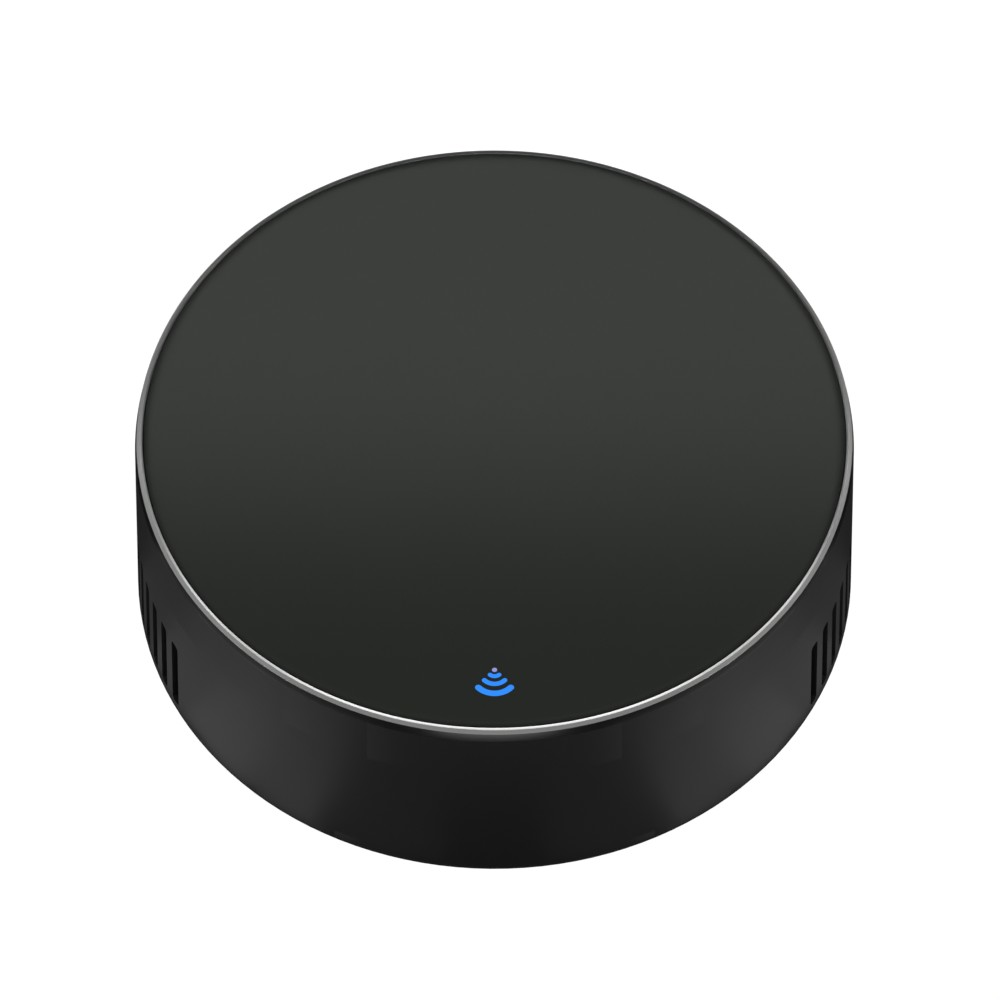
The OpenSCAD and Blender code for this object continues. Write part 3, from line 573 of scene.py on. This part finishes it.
trim = {
    "outerRadius": 33.0 * mm,
    "bandTopRadius": 32.85 * mm,
    "bandBottom": 21.25 * mm,
    "bandTop": 22.2 * mm,
    "lipOuter": 32.52 * mm,
    "lipInner": 32.30 * mm,
    "crown": 22.5 * mm,
    "lipFall": 0.085 * mm,    # the polished lip falls this much towards the outside
    "edgeRound": 0.02 * mm,
    "pocketFloor": 21.2 * mm,
    "spigotInner": 30.4 * mm,
    "spigotOuter": 31.15 * mm,
    "spigotFoot": 18.9 * mm,
    "ledgeUnder": 20.4 * mm,
    "stepRadius": 32.55 * mm,
    "around": 720,
    "arcSteps": 5,
    "bandColor": (0.10, 0.102, 0.099),
    "bevelColor": (0.27, 0.275, 0.268),
    "lipColor": (0.78, 0.79, 0.78),
    "bandMetal": 1.0,
    "bevelMetal": 0.1,
    "lipMetal": 0.95,
    "roughness": 0.30,
    "bevelStarts": (22.17 * mm, 22.21 * mm),   # heights over which one look changes to the next
    "lipStarts": (22.405 * mm, 22.425 * mm),
    "turningPitch": 0.07 * mm,
    "turningDepth": 0.0004 * mm,
}


def trimMetal():
    finish = Finish("trimMetal", trim["bevelColor"], trim["roughness"])
    height = finish.along("Z")
    bandMetal = finish.ramp(height, *trim["bevelStarts"], trim["bandMetal"], trim["bevelMetal"])
    lipMetal = finish.ramp(height, *trim["lipStarts"], 0.0, trim["lipMetal"])
    finish.feed(mathNode(finish.tree, "MAXIMUM", bandMetal, lipMetal), "Metallic")
    overBand = finish.ramp(height, *trim["bevelStarts"], 0, 1)
    lower = finish.blend(overBand, trim["bandColor"], trim["bevelColor"])
    finish.feed(finish.blend(lipMetal, lower, trim["lipColor"]), "Base Color")
    finish.bump(finish.group(turnedRings, Pitch=trim["turningPitch"]).outputs["Height"], trim["turningDepth"])
    return finish.material


def roundedProfile(corners, rounds, steps):
    # Each corner with a radius becomes an arc: a quadratic curve from radius / tan(half the corner)
    # before the corner to as far after it, with the corner as its control point
    corners = np.array(corners)
    points = []
    for i, radius in enumerate(rounds):
        here = corners[i]
        before = corners[i - 1] - here
        after = corners[(i + 1) % len(corners)] - here
        if radius == 0:
            points.append(here[None])
            continue
        before = before / np.linalg.norm(before)
        after = after / np.linalg.norm(after)
        half = np.arccos(np.clip(before @ after, -1, 1)) / 2
        reach = radius / np.tan(half)
        first = here + reach * before
        last = here + reach * after
        t = np.linspace(0, 1, steps + 1)[:, None]
        points.append((1 - t) ** 2 * first + 2 * t * (1 - t) * here + t ** 2 * last)
    return np.concatenate(points)


def lathe(name, profile, around):
    # Carries a closed profile of (radius, height) rows round the axis:
    # x = radius sin a, y = -radius cos a, z = height, for a from 0 to a full turn
    turn = np.linspace(0, 2 * np.pi, around, endpoint=False)[:, None]
    grid = np.stack([
        profile[None, :, 0] * np.sin(turn),
        -profile[None, :, 0] * np.cos(turn),
        np.broadcast_to(profile[None, :, 1], (around, len(profile)))], axis=-1)
    count = len(profile)
    i, j = np.meshgrid(np.arange(around), np.arange(count), indexing="ij")
    faces = np.stack([
        i * count + j,
        (i + 1) % around * count + j,
        (i + 1) % around * count + (j + 1) % count,
        i * count + (j + 1) % count], axis=-1).reshape(-1, 4)
    mesh = bpy.data.meshes.new(name)
    mesh.from_pydata(grid.reshape(-1, 3), [], faces)
    mesh.shade_smooth()
    piece = bpy.data.objects.new(name, mesh)
    bpy.context.scene.collection.objects.link(piece)
    return piece


def makeTrimRing():
    t = trim
    corners = [
        (t["outerRadius"], t["bandBottom"]),
        (t["bandTopRadius"], t["bandTop"]),
        (t["lipOuter"], t["crown"] - t["lipFall"]),
        (t["lipInner"], t["crown"]),
        (t["lipInner"], t["pocketFloor"]),
        (t["spigotInner"], t["pocketFloor"]),
        (t["spigotInner"], t["spigotFoot"]),
        (t["spigotOuter"], t["spigotFoot"]),
        (t["spigotOuter"], t["ledgeUnder"]),
        (t["stepRadius"], t["ledgeUnder"]),
        (t["stepRadius"], t["bandBottom"])]
    roundedCorners = 4   # the first four, which show
    rounds = [t["edgeRound"]] * roundedCorners + [0] * (len(corners) - roundedCorners)
    ring = lathe("trimRing", roundedProfile(corners, rounds, t["arcSteps"]), t["around"])
    ring.data.materials.append(finishes["trim_metal"])
    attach(ring, "casing")
    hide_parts("trim_ring")


# One finish for each material slot of the record. Colours are linear. The second one is that of
# the smudges, or of a board's tracks, and a board's third is its bare pads.

finishes = {
    "shell_plastic": shellPlastic(),
    "trim_metal": trimMetal(),
    "plate_plastic": platePlastic(),
    "adhesive": mouldedPlastic(
        "adhesive", (0.06, 0.06, 0.06), (0.08, 0.08, 0.08), roughness=0.8, grain=0.3 * mm, depth=0.01 * mm),
    "icon_blue": litIcon(),
    "foot_rubber": mouldedPlastic(
        "footRubber", (0.012, 0.012, 0.012), (0.022, 0.022, 0.021), roughness=0.75, grain=0.45 * mm,
        depth=0.012 * mm, spread=0.06, specular=0.3),
    "screw_steel": turnedMetal(
        "screwSteel", (0.55, 0.56, 0.57), roughness=0.3, pitch=0.09 * mm, depth=0.001 * mm),
    "socket_steel": sheetMetal(
        "socketSteel", (0.62, 0.62, 0.61), (0.5, 0.5, 0.5), roughness=0.28, grain=0.4 * mm, depth=0.001 * mm),
    "board_laminate": boardLaminate(
        "boardLaminate", (0.006, 0.055, 0.022), (0.012, 0.11, 0.045), (0.55, 0.38, 0.12)),
    "module_laminate": boardLaminate(
        "moduleLaminate", (0.008, 0.01, 0.018), (0.016, 0.02, 0.034), (0.55, 0.38, 0.12)),
    "clear_plastic": clearResin("clearPlastic", (0.9, 0.93, 0.95), roughness=0.12),
    "inner_black": mouldedPlastic(
        "innerBlack", (0.01, 0.01, 0.01), (0.014, 0.014, 0.014), roughness=0.5, grain=0.2 * mm,
        depth=0.003 * mm),
    "chip_light": mouldedPlastic(
        "chipLight", (0.75, 0.76, 0.7), (0.7, 0.7, 0.62), roughness=0.4, grain=0.4 * mm, depth=0.003 * mm),
    "emitter_epoxy": clearResin("emitterEpoxy", (0.72, 0.78, 0.92), roughness=0.05),
    "receiver_epoxy": mouldedPlastic(
        "receiverEpoxy", (0.012, 0.007, 0.014), (0.018, 0.01, 0.02), roughness=0.2, grain=0.6 * mm,
        depth=0.002 * mm),
    "solder": sheetMetal(
        "solder", (0.72, 0.73, 0.74), (0.6, 0.6, 0.6), roughness=0.24, grain=0.3 * mm, depth=0.004 * mm),
    "gold_plate": sheetMetal(
        "goldPlate", (0.83, 0.58, 0.22), (0.75, 0.5, 0.18), roughness=0.22, grain=0.3 * mm, depth=0.001 * mm),
    "chip_epoxy": mouldedPlastic(
        "chipEpoxy", (0.016, 0.016, 0.017), (0.022, 0.022, 0.023), roughness=0.6, grain=0.12 * mm,
        depth=0.004 * mm),
    "copper": sheetMetal(
        "copper", (0.7, 0.32, 0.16), (0.6, 0.25, 0.12), roughness=0.3, grain=0.3 * mm, depth=0.002 * mm),
    "can_aluminium": turnedMetal(
        "canAluminium", (0.78, 0.78, 0.78), roughness=0.25, pitch=0.1 * mm, depth=0.001 * mm),
    "ferrite": mouldedPlastic(
        "ferrite", (0.03, 0.028, 0.027), (0.05, 0.047, 0.045), roughness=0.7, grain=0.15 * mm,
        depth=0.008 * mm),
    "ceramic": mouldedPlastic(
        "ceramic", (0.42, 0.27, 0.13), (0.48, 0.32, 0.17), roughness=0.5, grain=0.2 * mm, depth=0.003 * mm),
}

for name in nodes:
    mesh = nodes[name].data
    mesh.materials.clear()
    mesh.materials.append(finishes[slotOf[name]])
print("materials assigned to", len(nodes), "nodes")

makeTrimRing()
print("trim ring made")

makeFloor()
makeWorld()
makeLights()
makeCamera()
print("studio made")
